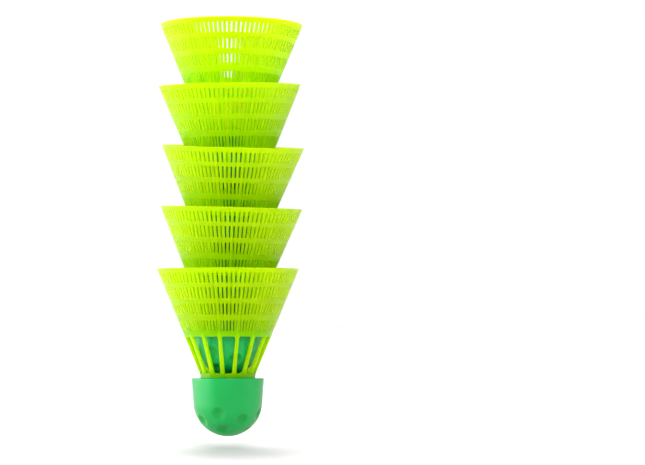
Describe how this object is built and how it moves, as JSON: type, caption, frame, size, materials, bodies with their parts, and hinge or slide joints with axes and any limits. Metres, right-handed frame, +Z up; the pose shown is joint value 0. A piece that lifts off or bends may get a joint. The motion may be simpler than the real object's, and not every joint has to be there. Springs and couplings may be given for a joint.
{
  "type": "badminton shuttlecock",
  "caption": "Nested stack of plastic badminton shuttlecocks: slotted yellow-green cone skirts on stems, set in dimpled green round-nosed heads, each one sitting in the skirt below.",
  "frame": {"origin": "tip of the lowest shuttlecock's nose, on that shuttlecock's axis", "axes": "+Z up along the lowest shuttlecock's axis, from its nose to its open rim; -Y faces the viewer"},
  "size_m": [0.057, 0.0598, 0.1615],
  "materials": {
    "skirt_nylon": "satin translucent nylon",
    "head_foam": "smooth moulded skin",
    "glue": "cured adhesive"
  },
  "bodies": {
    "shuttle_1": {"head_1": "head_foam", "glue_1": "glue", "skirt_1": "skirt_nylon"},
    "shuttle_2": {"head_2": "head_foam", "glue_2": "glue", "skirt_2": "skirt_nylon"},
    "shuttle_3": {"head_3": "head_foam", "glue_3": "glue", "skirt_3": "skirt_nylon"},
    "shuttle_4": {"head_4": "head_foam", "glue_4": "glue", "skirt_4": "skirt_nylon"},
    "shuttle_5": {"head_5": "head_foam", "glue_5": "glue", "skirt_5": "skirt_nylon"}
  },
  "joints": [
    {"name": "lift_2", "type": "slide", "parent": "shuttle_1", "child": "shuttle_2", "axis": [0.0262, -0.0175, 0.9995], "range_m": [0, 0.045]},
    {"name": "lift_3", "type": "slide", "parent": "shuttle_2", "child": "shuttle_3", "axis": [0.0261, -0.0523, 0.9983], "range_m": [0, 0.045]},
    {"name": "lift_4", "type": "slide", "parent": "shuttle_3", "child": "shuttle_4", "axis": [-0.0122, -0.0087, 0.9999], "range_m": [0, 0.045]},
    {"name": "lift_5", "type": "slide", "parent": "shuttle_4", "child": "shuttle_5", "axis": [0.0089, 0.0698, 0.9975], "range_m": [0, 0.045]}
  ]
}
